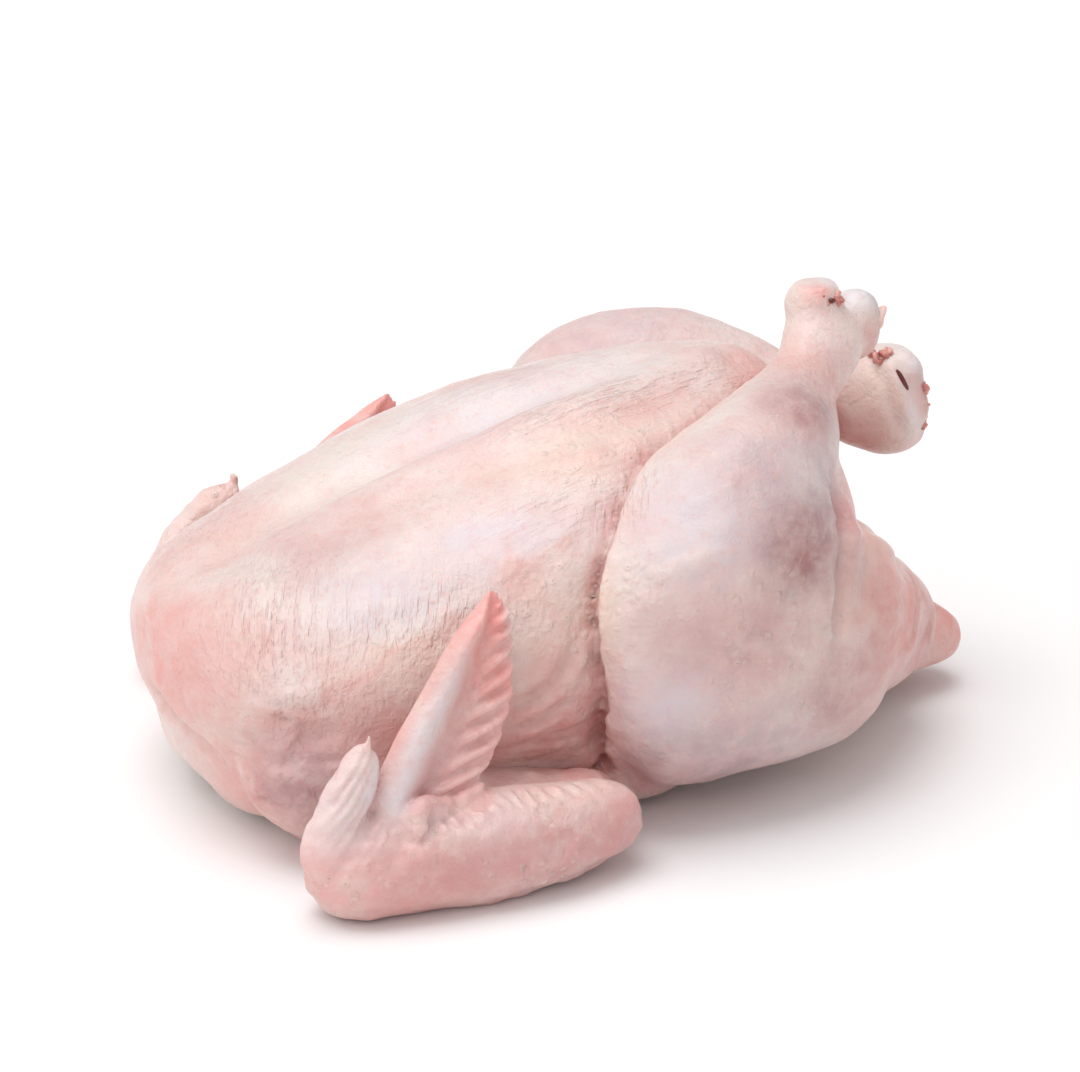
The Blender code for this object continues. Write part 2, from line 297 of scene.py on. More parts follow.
def gapTo(points, quads, target):
    # Distance in mm from each point to the target's surface, measured by a proximity node.
    probe = quadSoup("probe", points, quads)
    tree = bpy.data.node_groups.new("proximity", "GeometryNodeTree")
    for way in ("INPUT", "OUTPUT"):
        tree.interface.new_socket("Geometry", in_out=way, socket_type="NodeSocketGeometry")
    given = addNode(tree, "NodeGroupInput").outputs[0]
    body = addNode(tree, "GeometryNodeObjectInfo", {"Object": target}).outputs["Geometry"]
    near = addNode(tree, "GeometryNodeProximity", {0: body}).outputs["Distance"]
    kept = addNode(tree, "GeometryNodeStoreNamedAttribute",
                   {"Geometry": given, "Name": "gap", "Value": near})
    addNode(tree, "NodeGroupOutput", {0: kept.outputs[0]})
    probe.modifiers.new("proximity", "NODES").node_group = tree
    seen = probe.evaluated_get(bpy.context.evaluated_depsgraph_get())
    gap = np.empty(len(points), np.float32)
    seen.data.attributes["gap"].data.foreach_get("value", gap)
    bpy.data.objects.remove(probe)
    bpy.data.node_groups.remove(tree)
    return gap / mm


def alongSkin(seeds, points, quads, reach):
    # Distance in mm over the skin to the nearest seed, out to the reach: each round passes
    # the shortest way on to the neighbours, most of which are over 0.9 mm off.
    here, there = quads.ravel(), np.roll(quads, -1, 1).ravel()
    length = np.linalg.norm(points[here] - points[there], axis=1)
    way = np.where(seeds, 0.0, reach)
    for _ in range(int(reach / 0.9)):
        np.minimum.at(way, here, way[there] + length)
        np.minimum.at(way, there, way[here] + length)
    for _ in range(2):
        way = 0.5 * way + 0.5 * neighbourMean(way, quads)
    return way


meeting = {"own": 0.7, "reach": 14, "middle": 1.3, "together": 17, "onSkin": 3, "width": 16}


def creaseSide(points, quads, body, leg):
    # Distance from the line where the leg meets the body: positive on the body's side,
    # negative on the leg's, and 1 near it in the second result. Where both surfaces run
    # together for a long way, as on the rump, there is no crease.
    toBody, toLeg = gapTo(points, quads, body), gapTo(points, quads, leg)
    fromBody = alongSkin(toLeg - toBody > meeting["own"], points, quads, meeting["reach"])
    fromLeg = alongSkin(toBody - toLeg > meeting["own"], points, quads, meeting["reach"])
    meet = np.abs(fromBody - fromLeg) < meeting["middle"]
    meet &= fromBody + fromLeg < meeting["together"]
    meet &= np.minimum(toBody, toLeg) < meeting["onSkin"]
    way = alongSkin(meet, points, quads, meeting["width"])
    return way * np.sign(fromLeg - fromBody), fade(way, 14, 9)


# Nodes and finishes.

def hexColour(text):
    # sRGB hex to the linear colour that the shader takes.
    srgb = np.array([int(text[k:k + 2], 16) for k in (1, 3, 5)]) / 255
    linear = np.where(srgb <= 0.04045, srgb / 12.92, ((srgb + 0.055) / 1.055) ** 2.4)
    return (*linear, 1)


def addNode(tree, kind, inputs=(), **settings):
    # One node with its settings; an input is a value or another node's output.
    node = tree.nodes.new(kind)
    for key, value in settings.items():
        setattr(node, key, value)
    for key, value in dict(inputs).items():
        if isinstance(value, bpy.types.NodeSocket):
            tree.links.new(value, node.inputs[key])
        else:
            node.inputs[key].default_value = value
    return node


def newMaterial(name, sockets):
    material = bpy.data.materials.new(name)
    material.use_nodes = True
    shader = material.node_tree.nodes["Principled BSDF"]
    for key, value in sockets.items():
        shader.inputs[key].default_value = value
    return material, material.node_tree, shader


def mixColour(tree, amount, under, over):
    node = addNode(tree, "ShaderNodeMix", {0: amount, 6: under, 7: over}, data_type="RGBA")
    return node.outputs[2]


def maskOf(tree, name):
    return addNode(tree, "ShaderNodeAttribute", attribute_name=name).outputs["Fac"]


def scaled(tree, value, factor, offset=0.0):
    node = addNode(tree, "ShaderNodeMath", {0: value, 1: factor, 2: offset}, operation="MULTIPLY_ADD",
                   use_clamp=True)
    return node.outputs[0]


skinLook = {
    # Besides the skin's own tones, the dark red, lilac and pink tints also paint shade, and the pale film
    # and bone-white tints also paint highlights and light.
    "cream": "#E3D5CF", "pink": "#E0BFB9", "blush": "#DB9A93", "veil": "#DBD0D6",
    "fat": "#E9D8C8", "raw": "#A9605A", "bone": "#E4E0E4", "speck": "#8C6A60", "mauve": "#A58A90",
    "flush": "#F0A09A",
    "roughness": 0.43, "moisture": 0.3, "patchSize": 26, "mottleSize": 9, "fleckSize": 3.2,
    "poreSpacing": 3.2, "poreDepth": 0.5, "pitDepth": 0.3, "grainSize": 0.9, "grainDepth": 0.14,
    "crinkleSize": 3.6, "crinkleDepth": 0.75, "combSize": 1.6, "combDepth": 0.5, "combStretch": 0.16,
    # In degrees: along the breast and down the flank.
    "combTurn": (0.0, -11.0, 7.5), "dripTurn": (0.0, -36.0, 66.0),
}


def pluckedSkin(look=skinLook):
    # Raw poultry skin: thin, translucent and moist over pale flesh. Light goes a few
    # millimetres in and comes back pinker; pores and fine creases break the wet highlight.
    material, tree, shader = newMaterial("pluckedSkin", {
        "IOR": 1.4, "Specular IOR Level": 0.42, "Subsurface Weight": 0.25, "Subsurface Scale": 0.0035,
        "Subsurface Radius": (1.0, 0.42, 0.28), "Coat Weight": look["moisture"], "Coat Roughness": 0.2})

    def node(kind, inputs=(), **settings):
        return addNode(tree, "ShaderNode" + kind, inputs, **settings)

    place = node("TexCoord").outputs["Object"]

    def cloud(size, detail=2.0, rough=0.55, where=place, **extra):
        inputs = {"Vector": where, "Scale": 1000 / size, "Detail": detail, "Roughness": rough, **extra}
        return node("TexNoise", inputs).outputs["Fac"]

    def level(value, low, high, top=1.0):
        inputs = {"Value": value, "From Min": low, "From Max": high, "To Min": 0.0, "To Max": top}
        return node("MapRange", inputs, interpolation_type="SMOOTHSTEP").outputs["Result"]

    def times(a, b):
        return node("Math", {0: a, 1: b}, operation="MULTIPLY").outputs[0]

    def tinted(amount, name):
        return mixColour(tree, amount, colour, hexColour(look[name]))

    colour = mixColour(tree, level(cloud(look["patchSize"]), 0.35, 0.7), hexColour(look["cream"]),
                       hexColour(look["pink"]))
    ragged = level(cloud(look["mottleSize"], 4.0, 0.65), 0.3, 0.68)
    for mask in ("fat", "blush", "veil", "mauve", "bone", "flush", "raw"):
        torn = times(maskOf(tree, mask), ragged)
        amount = node("Mix", {0: 0.55, 2: maskOf(tree, mask), 3: torn}).outputs[0]
        colour = tinted(amount, mask)
    colour = tinted(level(cloud(look["fleckSize"], 3.0, 0.7), 0.5, 0.72, 0.22), "blush")
    # Goose bumps where the feathers stood: cells pulled out of line by a cloud.
    shake = node("TexNoise", {"Vector": place, "Scale": 1000 / 6, "Detail": 1.0})
    moved = node("VectorMath", {0: shake.outputs["Color"], 3: 0.0024}, operation="SCALE")
    bent = node("VectorMath", {0: place, 1: moved.outputs[0]}, operation="ADD")
    cells = node("TexVoronoi", {"Vector": bent.outputs[0], "Scale": 1000 / look["poreSpacing"],
                                "Randomness": 0.9})
    pores = cells.outputs["Distance"]
    patchy = times(maskOf(tree, "pores"), level(cloud(11), 0.35, 0.6))
    pimple = times(level(pores, 0.5, 0.1), patchy)
    pit = times(level(pores, 0.14, 0.04), patchy)
    colour = tinted(scaled(tree, pimple, 0.35), "fat")
    colour = tinted(scaled(tree, pit, 0.4), "speck")

    # Combed skin: the feather tracts leave fine lines, drawn out one way.
    def streaks(mask, turn):
        inputs = {"Vector": place, "Rotation": [math.radians(a) for a in turn],
                  "Scale": (1 / look["combStretch"], 1, 1)}
        lie = node("Mapping", inputs, vector_type="TEXTURE")
        lines = cloud(look["combSize"], 2.0, 0.6, where=lie.outputs["Vector"])
        return times(maskOf(tree, mask), level(lines, 0.42, 0.7))

    combed = streaks("combed", look["combTurn"])
    dripped = streaks("dripped", look["dripTurn"])
    colour = tinted(scaled(tree, combed, 0.22), "blush")
    colour = tinted(scaled(tree, dripped, 0.25), "blush")
    tree.links.new(colour, shader.inputs["Base Color"])

    uneven = {"Value": cloud(5, 3.0), "From Min": 0.3, "From Max": 0.7,
              "To Min": look["roughness"] - 0.1, "To Max": look["roughness"] + 0.12}
    rough = node("MapRange", uneven).outputs["Result"]
    tree.links.new(rough, shader.inputs["Roughness"])

    def bump(height, depth, below=None):
        inputs = {"Height": height, "Strength": 1.0, "Distance": depth * mm}
        if below:
            inputs["Normal"] = below
        return node("Bump", inputs).outputs["Normal"]

    surface = bump(cloud(look["grainSize"], 2.0, 0.6), look["grainDepth"])
    # The tight film over the muscle is smooth, the rest crinkled.
    loose = scaled(tree, maskOf(tree, "veil"), -0.75, 1.0)
    crinkle = times(cloud(look["crinkleSize"], 3.0, 0.6, Distortion=0.5), loose)
    for height, depth in ((crinkle, look["crinkleDepth"]), (pimple, look["poreDepth"]),
                          (pit, -look["pitDepth"]), (combed, -look["combDepth"]),
                          (dripped, -look["combDepth"])):
        surface = bump(height, depth, surface)
    tree.links.new(surface, shader.inputs["Normal"])
    return material


# The carcass.

torso = {
    "breast": [(-110, 0, 45, 0, 0), (-104, 0, 43.5, 33, 18.5), (-90, 0, 39.5, 51, 32),
               (-65, 0, 42.5, 63, 40), (-30, 0, 48.5, 68, 48), (0, 0, 53.5, 67.5, 52),
               (30, 0, 62, 60, 47.5), (54, 0, 76.5, 42, 34), (70, 0, 85.5, 22, 19.5), (76.5, 0, 88, 0, 0)],
    "back": [(-105, 0, 29, 0, 0), (-99, 0, 27, 29, 16), (-85, 0, 25.5, 48, 25), (-55, 0, 27.5, 58.5, 28),
             (0, 0, 29, 60, 30), (50, 0, 30, 56, 31), (85, 0, 31, 47, 29), (102, 0, 30, 35, 23),
             (111, 0, 28, 22, 15), (115, 0, 27, 0, 0)],
    "abdomen": [(40, 3, 70, 0, 0), (52, 4, 72, 29, 20), (72, 5, 66, 30, 20), (89, 4, 52, 28, 14),
                (100, 2, 44, 0, 0)],
    "nearShoulder": ((-70, -44, 25), (28, 21, 22)),
    "farShoulder": ((-64, 44, 25), (28, 21, 22)),
    "tail": [(98, 0, 20, 0, 0), (108, 0, 19, 20, 12), (119, 0, 17, 16, 11), (129, 0, 15.5, 12, 8.5),
             (136, 0, 16, 0, 0)],
    "nearRump": [(48, -42, 42, 0, 0), (58, -43, 43, 24, 24), (75, -41, 42, 25, 24.5),
                 (88.5, -34, 37, 19.5, 21.8), (98, -28.5, 33.5, 16, 18.5), (105, -24.5, 31, 12.5, 14.5),
                 (110.5, -21.5, 29, 7.5, 9), (113, -20, 28.5, 0, 0)],
    "farRump": [(52, 42, 42, 0, 0), (62, 43, 43, 24, 24), (79, 41, 42, 25, 24.5), (91, 34, 37, 19.5, 21.8),
                (99, 29, 33.5, 16, 18), (105, 25.5, 31, 12, 13.5), (109, 23, 29.5, 7, 8),
                (111, 22, 29, 0, 0)],
    "grooveDepth": [(-110, 0), (-80, 3.5), (-40, 6.0), (0, 5.5), (30, 2.0), (50, -1.5), (80, -2.5)],
    "grooveWidth": 9,
    "cavity": [(132, 0, 48, 0, 0), (126, 0, 47, 19, 13), (108, 0, 44, 20, 14), (80, 0, 40, 26, 19),
               (50, 0, 38, 25, 19), (34, 0, 38, 0, 0)],
}
legs = {
    "thigh": [(-5, -54, 44, 0, 0), (-2, -54, 44.5, 20, 26), (8, -54, 46, 27.5, 33.5),
              (26, -52.5, 45.5, 30.5, 36.5), (46, -49.5, 45, 32.5, 36), (68, -44.5, 43, 29.5, 33),
              (82, -40, 40, 20, 25), (90, -37, 38, 0, 0)],
    "thighFold": ((12, -44, 14), (21, 17, 12)),
    "web": [(64, -30, 106, 0, 0), (63, -34, 96, 9, 9), (58, -43, 82, 19, 19), (50, -51, 67, 27, 27),
            (45, -51, 50, 26, 28), (45, -50, 38, 0, 0)],
    "nearDrumstick": [(-4, -57, 52, 0, 0), (5, -58, 59, 18, 19), (20, -58, 67, 25.5, 26),
                      (38, -54, 81, 27, 27.5), (54, -43, 94.5, 19.5, 20), (68, -29, 104.5, 12.2, 12),
                      (77, -21.5, 110, 10.8, 9.4), (82.5, -16.5, 113.6, 12, 9.6),
                      (86.5, -13.5, 116.4, 11, 8.2), (89.5, -11, 118, 7.5, 6), (91, -10, 118.8, 0, 0)],
    "farDrumstick": [(20, 62, 63, 0, 0), (29, 64, 69, 18, 17.5), (48, 65.5, 75, 25, 24.5),
                     (67, 59, 78, 25.5, 25.5), (84, 44, 80, 19, 19.5), (95, 32, 82, 11.5, 12),
                     (103, 24.5, 83, 9.2, 9.6), (110, 18.5, 83.5, 13, 14), (117, 14, 84, 15, 16),
                     (123, 10.5, 84, 14, 15), (126, 9, 84, 10, 11), (127.5, 8.5, 84, 0, 0)],
    "shinUp": (-0.25, 0.8, -0.4),
    "farThighShift": 4,
    "nearKnuckles": [((81.5, -12.4, 124.4), (7.8, 8, 8.2)), ((96, -8.3, 114.2), (7.6, 8.2, 8.6)),
                     ((86, -14.5, 112), (9, 8, 8))],
    "caps": [((96.6, -7.8, 118.6), (6.9, 7.2, 7.1)), ((84.6, -10.6, 126.6), (5.2, 5.2, 4.9)),
             ((119.2, 8.8, 92.8), (7, 8.2, 7.6)), ((120.4, 5.6, 84), (6.4, 7.2, 8.4)),
             ((122.5, 9.5, 77), (6, 6.5, 7))],  # joint ends, only partly under skin
}
carcass = {"coarse": 1.6, "voxel": 1.3, "groupRounds": 14, "restZ": 0.6}


def mirrored(stations, shift=0):
    return [(x + shift, -y, z, a, b) for x, y, z, a, b in stations]


def grooveBreast(rings):
    # Sinks the breast along its midline, where the keel lies between the two muscles.
    depth = np.interp(rings[..., 0], *zip(*torso["grooveDepth"]))
    top = np.clip((rings[..., 2] - 60) / 15, 0, 1)
    rings[..., 2] -= depth * top * bell(rings[..., 1], torso["grooveWidth"])
    return rings


def softGroup(name, shells):
    points, quads = fuse([shellObject(name, shells)], carcass["coarse"])
    return quadSoup(name, relax(points, quads, carcass["groupRounds"]), quads)


def buildCarcass():
    body = [grooveBreast(loft(torso["breast"], square=2.15, upright=True, rings=120, sides=120)),
            loft(torso["back"], square=2.5, upright=True), loft(torso["abdomen"], square=2.2),
            loft(torso["tail"], square=2.3), loft(torso["nearRump"]), loft(torso["farRump"]),
            ball(*torso["nearShoulder"]), ball(*torso["farShoulder"])]
    caps = [ball(*cap) for cap in legs["caps"]]
    nearLeg = [loft(legs["thigh"], square=2.2), loft(legs["web"], up=(0, 1, 0), square=2.2),
               loft(legs["nearDrumstick"], up=legs["shinUp"]), loft(torso["nearRump"]),
               ball(*legs["thighFold"]), *(ball(*knuckle) for knuckle in legs["nearKnuckles"])]
    farLeg = [loft(mirrored(legs["thigh"], legs["farThighShift"]), square=2.2),
              loft(legs["farDrumstick"]), loft(torso["farRump"]), *caps[2:]]
    groups = [softGroup("torso", body), softGroup("nearLeg", nearLeg), softGroup("farLeg", farLeg),
              shellObject("caps", caps[:2])]
    copies = [linked(made.name + "Copy", made.data.copy()) for made in groups[:3]]
    hollow = shellObject("hollow", [loft(torso["cavity"], square=2.2)])
    points, quads = fuse(groups, carcass["voxel"], hollow)
    points = relax(points, quads, 3)
    sides = [creaseSide(points, quads, copies[0], leg) for leg in copies[1:]]
    for copy in copies:
        bpy.data.objects.remove(copy)
    print("carcass fused:", len(quads), "quads")
    return points, quads, sides


# Relief and masks.

def insideCavity(points):
    # 1 on the wall of the body cavity.
    x, y, z = points.T
    rows = np.array(torso["cavity"])[::-1].T
    middle, wide, high = (np.interp(x, rows[0], row) for row in rows[2:])
    radius = np.hypot(y / np.maximum(wide, 1), (z - middle) / np.maximum(high, 1))
    return fade(radius, 1.2, 1.02) * fade(x, 30, 36) * fade(x, 110, 100)


reliefs = {
    # Each crease is a line along the skin: points, depth, half width and the lip beside it.
    # In order: folds of the flanks, the shins against the rump, a line across the rump, the
    # hock, the skin's edge round the far joint, the neck flap's edge.
    "creases": [
        ([(-33, -66, 43), (-24, -68, 46), (-19, -68, 49), (-14, -68, 55), (-11, -68, 63)], 1.5, 1.8, 0.7),
        ([(-28, -66, 37), (-22, -67, 40), (-16, -67, 43)], 0.7, 1.4, 0.3),
        ([(-27, -65, 31), (-20, -66, 34), (-13, -66, 36)], 0.6, 1.4, 0.3),
        ([(-29, 66, 43), (-20, 68, 46), (-12, 68, 52), (-8, 68, 60)], 1.4, 1.8, 0.6),
        ([(62, -63, 98), (63.5, -65, 88), (64.5, -66, 83), (63.5, -71, 77), (61, -75, 71), (59.5, -78, 62),
          (58.5, -79, 55), (57, -80, 45)], 3.4, 2.6, 0.9),
        ([(66, 63, 98), (68, 66, 84), (66, 72, 76), (63, 77, 64), (61, 79, 52)], 2.8, 2.2, 0.9),
        ([(96, -43, 56), (98, -45, 53), (96, -54, 48), (92, -59, 42), (84, -67, 40)], 0.6, 1.4, 0.7),
        ([(79.5, -18, 131), (81.5, -19.5, 129), (84, -20, 126.5)], 0.8, 0.9, 0.5),
        ([(113.5, 8.5, 99), (114.5, 5, 96.5), (115, 1.5, 93), (115.5, -0.5, 88), (118, -1, 82),
          (121, 0, 77)], -1.1, 1.5, -0.8),
        ([(-108, 4, 36), (-107, -12, 34), (-103, -26, 30), (-97, -38, 24)], 2.2, 2.4, 1.2),
    ],
    "keelRidge": [(-74, -6, 76), (-47, -10, 87), (-28, -14, 95), (-10, -16, 101), (8, -14.5, 105),
                  (28, -11, 108), (48, -7, 109)],
    # The keel's ridge and the rump's upper rim: line, lift, half width, how far beside it.
    "ridges": [("keelRidge", 1.7, 6.5, 0), ("keelRidge", -0.8, 6, 14), ("rumpRim", 0.8, 2.6, 0),
               ("rumpRim", -0.4, 2.2, 5)],
    "shinEdge": [(60.5, -64, 97), (62, -66, 88), (62.5, -67.5, 82), (61.5, -72, 76), (59, -76, 70),
                 (57.5, -79, 62), (56.5, -80, 55)],
    # Where the loose outer film of skin ends.
    "shed": [(-2, -50, 89), (-10, -54, 84), (-24, -54, 81), (-32, -59, 73), (-49, -58, 67), (-65, -57, 61),
             (-71, -57, 56), (-81, -54, 51), (-91, -49, 46)],
    "rumpRim": [(64, -72, 78), (71, -64, 76), (78, -57, 72), (86, -52, 66), (93, -46, 60)],
    "pucker": [(6, -74, 78), (18, -79, 82), (30, -81, 79), (40, -82, 77), (50, -80, 73), (58, -77, 66)],
    "meet": {"groove": 2.5, "width": 1.15, "dip": 1.3, "dipWidth": 6, "rim": 1.6, "rimAt": 3.2,
             "rimWidth": 2.4, "beading": 1.3},
    "wrinkleSpot": ((-88, -54, 32), (15, 16, 16)),
    # Uneven skin: lift, size of the lumps, seed.
    "lumps": [(0.9, 34, 1), (0.55, 14, 2), (0.32, 6, 3)],
    "pinch": 1.6,
}


def creaseLift(points, path, depth, wide, lip):
    # Sinks the skin along a line as a Gaussian and raises a lip at twice its width.
    gap, along = lineField(points, path)
    ends = np.minimum(fade(along, -0.02, 0.22), fade(along, 1.02, 0.65)) * fade(gap, wide * 6, wide * 4)
    return ends * (lip * bell(gap / wide - 2.3, 1) - depth * bell(gap, wide))


def pinchCreases(points, quads, amount):
    # Unsharp mask: pushes the skin in where it already sinks, and puffs it up just beside.
    sunk = hollowness(points, quads, 12)
    deep = np.clip(sunk - 0.35, 0, 1.6) * (1 - insideCavity(points)) * fade(points[:, 2], 1, 5)
    lift = blurred(-amount * deep, quads, 2)
    puff = -0.45 * np.minimum(blurred(lift, quads, 8), 0) * (deep < 0.05)
    return points + (lift + puff)[:, None] * normalsOf(points, quads)


def meetLift(points, side, near):
    # The leg's skin folds over the body's: a tight groove at the line itself, the body's
    # skin dipping towards it and the leg's rim standing up, beaded with fat. It ends at the
    # rump and above the floor, and gets shallower towards the top.
    shape = reliefs["meet"]
    x, _, z = points.T
    lift = -shape["groove"] * bell(side, shape["width"])
    lift -= shape["dip"] * bell(side, shape["dipWidth"]) * (side > 0)
    rim = bell(side + shape["rimAt"], shape["rimWidth"]) * (side < 0)
    lift += rim * (shape["rim"] + shape["beading"] * noise(points, 3.6, 33) * fade(z, 95, 80))
    return lift * near * fade(z, 2, 8) * fade(x, 82, 68) * (1 - 0.45 * fade(z, 68, 84))


def gapFrom(points, name):
    # Distance in mm to one of the lines named in the relief's settings.
    return lineField(points, reliefs[name])[0]


def skinRelief(points, quads, sides):
    points = pinchCreases(points, quads, reliefs["pinch"])
    normals = normalsOf(points, quads)
    inside = insideCavity(points)
    lift = lumps(points, reliefs["lumps"])
    for side, near in sides:
        lift += meetLift(points, side, near)
    for path, depth, wide, lip in reliefs["creases"]:
        lift += creaseLift(points, path, depth, wide, lip)
    for name, high, wide, beside in reliefs["ridges"]:
        lift += high * bell(gapFrom(points, name) - beside, wide)
    # The ragged rim of skin down the back of the shin.
    lift += bell(gapFrom(points, "shinEdge"), 1.5) * (1.1 + 1.3 * noise(points, 3.2, 34))
    # The outer film of skin stands a little proud above its ragged edge.
    ragged = gapFrom(points, "shed") + 3 * noise(points, 7, 35)
    lift += 0.55 * bell(ragged, 2.2) * fade(noise(points, 9, 36), -0.5, 0.4)
    # Fine wrinkles, drawn out level, where the wing pulls the skin of the shoulder.
    centre, radii = reliefs["wrinkleSpot"]
    pulled = spot(points, centre, radii) + 0.8 * spot(points, (-18, -66, 34), (13, 10, 13))
    pulled += spot(points, np.array(centre) * (1, -1, 1), radii)
    ripple = points * (0.28, 0.5, 1.0) + 0.8 * noise(points, 12, 23)[:, None]
    slits = np.clip(1 - 4 * np.abs(noise(ripple, 4.4, 41)), 0, 1)
    lift += pulled * (0.6 * noise(ripple, 3.4, 24) - 2.0 * slits)
    # Loose folds in the lower flank and along the back.
    lift += 0.8 * fade(points[:, 2], 26, 10) * noise(points * (1, 1, 0.6), 11, 25)
    # The puckered edge where the thigh's bumpy skin gives way to the smooth shin.
    lift += 1.2 * bell(gapFrom(points, "pucker"), 4.5) * np.maximum(0.3 + noise(points, 4, 27), -0.15)
    # Goose bumps on the thigh.
    lift += 0.75 * noise(points, 3.4, 40) * spot(points, (30, -78, 56), (40, 26, 24))
    return points + (lift * (1 - 0.75 * inside))[:, None] * normals


zones = {
    # Colour zones: centre x, y, z, the three radii, strength.
    "blush": [
        (-107, -14, 44, 22, 34, 24, 0.9), (-107, -4, 52, 10, 16, 10, 1), (-95, -45, 22, 26, 24, 18, 0.85),
        (-78, -56, 42, 30, 12, 12, 0.6), (-34, -66, 38, 52, 26, 18, 0.9), (-6, -66, 30, 16, 16, 22, 0.8),
        (6, -58, 16, 26, 24, 11, 1), (84, -62, 46, 24, 18, 28, 0.9), (100, -36, 42, 20, 22, 22, 0.8),
        (132, 0, 17, 16, 20, 16, 1), (64, -6, 107, 14, 14, 9, 0.6), (72, -34, 106, 15, 14, 14, 0.8),
        (112, 16, 75, 14, 14, 9, 0.9), (97, -16, 112, 6, 7, 8, 0.9), (80, -18, 130, 5, 5, 4, 0.7),
        (74, -52, 78, 7, 14, 12, 1), (104, 28, 54, 16, 14, 16, 0.9), (-30, 66, 38, 55, 26, 20, 0.8),
        (26, -24, 106, 26, 8, 9, 0.5), (8, -40, 96, 26, 9, 9, 0.45), (30, 60, 98, 34, 22, 14, 0.55),
        (56, 40, 96, 18, 18, 14, 0.6), (-52, -22, 84, 28, 13, 9, 0.4), (108, -26, 36, 12, 16, 20, 0.9),
        (30, -80, 56, 30, 16, 16, 0.5), (-8, -52, 87, 18, 10, 12, 0.45), (64, -77, 38, 18, 12, 15, 0.5),
        (123, 2, 87, 4, 5, 5, 0.9),
    ],
    # Pale lilac film over the muscle; painted sheen as well on the front of the drumstick, and painted
    # light on the top of the breast.
    "veil": [
        (22, -72, 88, 20, 26, 15, 1), (46, -66, 92, 26, 24, 20, 0.75), (12, -74, 87, 9, 9, 9, 1),
        (-26, -48, 83, 32, 13, 9, 1), (-58, -48, 71, 24, 14, 11, 0.9), (8, -80, 42, 18, 12, 13, 1),
        (30, -74, 26, 30, 16, 14, 0.6), (50, 60, 92, 34, 30, 24, 0.5), (-30, 50, 82, 50, 18, 14, 0.8),
        (-6, 2, 100, 64, 20, 12, 0.7),
    ],
    "fat": [
        (0, -34, 99, 30, 16, 10, 0.6), (-50, -60, 60, 30, 12, 7, 0.6), (-5, -68, 68, 6, 7, 10, 0.8),
        (36, -82, 77, 22, 10, 6, 0.6), (60, -72, 60, 12, 16, 10, 0.4), (104, 26, 58, 12, 12, 4, 0.9),
        (80, -56, 72, 12, 9, 3.5, 0.9), (82, -22, 118, 9, 9, 10, 0.25), (111, 6, 92, 5, 6, 7, 0.6),
    ],
    "flush": [
        (84, -22, 118, 7, 9, 10, 0.25), (72, -57, 80, 9, 12, 10, 0.9), (130, 0, 19, 18, 20, 16, 0.85),
        (88, -60, 46, 22, 20, 24, 0.4), (104, -44, 34, 14, 14, 16, 0.7), (-108, -8, 48, 9, 18, 11, 0.4),
        (2, -60, 18, 16, 18, 9, 0.4), (79.5, -18.5, 129.5, 3.5, 4, 2.6, 0.5),
    ],
    # Dark red of cut flesh and blood; painted shade as well at the spots in the pit between shin and rump,
    # under the thigh, by the wing at the shoulder and under the far hock.
    "raw": [
        (49, -79, 82, 12, 12, 13, 0.82), (58, -54, 109, 11, 11, 8, 0.55), (74, -70, 54, 16, 14, 20, 0.26),
        (106, -42, 32, 13, 17, 18, 0.75), (125.5, 4, 84, 2.5, 5, 10, 0.5), (106, 22, 78, 9, 8, 12, 0.35),
        (63, -70, 78, 4, 7, 17, 0.5), (128, -6, 20, 14, 14, 12, 0.2), (98, 0, 60, 12, 22, 9, 0.35),
        (101, 14, 80, 6, 9, 12, 0.75), (112, -20, 26, 9, 22, 14, 0.3), (60, -79, 39, 20, 16, 15, 0.28),
        (-90, -57, 32, 14, 10, 12, 0.35), (-16, -68, 46, 14, 10, 14, 0.16),
    ],
    "bone": [
        (81, -24, 119, 9, 8, 10, 0.5), (94.5, -10, 124, 6, 6, 4.5, 1), (86, -12, 131, 4.5, 6, 2.2, 0.8),
        (121, 4, 98, 4, 7, 3.4, 0.8), (119, -1, 84, 2.6, 5, 8, 0.6),
    ],
    # Lilac of flesh under the skin; painted shade as well at the spots in the pit between shin and rump,
    # under the thigh and rump, by the wing at the shoulder and in the hollow below the near hock's knob.
    "mauve": [
        (-66, -26, 76, 26, 24, 10, 0.3), (30, -80, 60, 36, 20, 24, 0.32), (36, -70, 101, 17, 12, 10, 0.5),
        (101, -8, 122.5, 3.4, 6, 4, 0.9), (124, 3, 93, 4, 6, 5, 0.6), (49, -79, 82, 19, 14, 16, 0.95),
        (62, -68, 88, 9, 13, 26, 0.75), (22, -76, 20, 36, 18, 20, 0.8), (58, -78, 34, 26, 18, 18, 0.45),
        (46, 76, 84, 20, 14, 16, 0.5), (103, -12, 110, 5, 8, 8, 0.3), (-86, -58, 28, 18, 11, 14, 0.9),
        (88, -56, 30, 26, 18, 14, 0.4), (62, -48, 108, 14, 12, 12, 0.7), (46, 50, 100, 30, 24, 14, 0.35),
    ],
    "pores": [
        (20, -60, 60, 60, 60, 34, 1), (0, -30, 96, 60, 24, 18, 0.8), (20, 60, 60, 60, 60, 40, 1),
        (-70, -30, 60, 26, 40, 26, 0.7),
    ],
    "combed": [
        (20, -16, 106, 48, 9, 10, 1), (10, 22, 103, 50, 12, 12, 0.8), (-10, -46, 90, 26, 10, 10, 0.4),
    ],
    "dripped": [
        (-82, -34, 58, 22, 26, 24, 1), (-50, -56, 66, 34, 12, 10, 0.8), (-82, 34, 58, 22, 26, 24, 1),
        (10, -54, 92, 12, 9, 14, 0.7),
    ],
}


def zoneMask(points, name):
    # The strongest of the mask's spots at each point.
    total = np.zeros(len(points))
    for row in zones[name]:
        total = np.maximum(total, row[6] * spot(points, row[:3], row[3:6]))
    return total


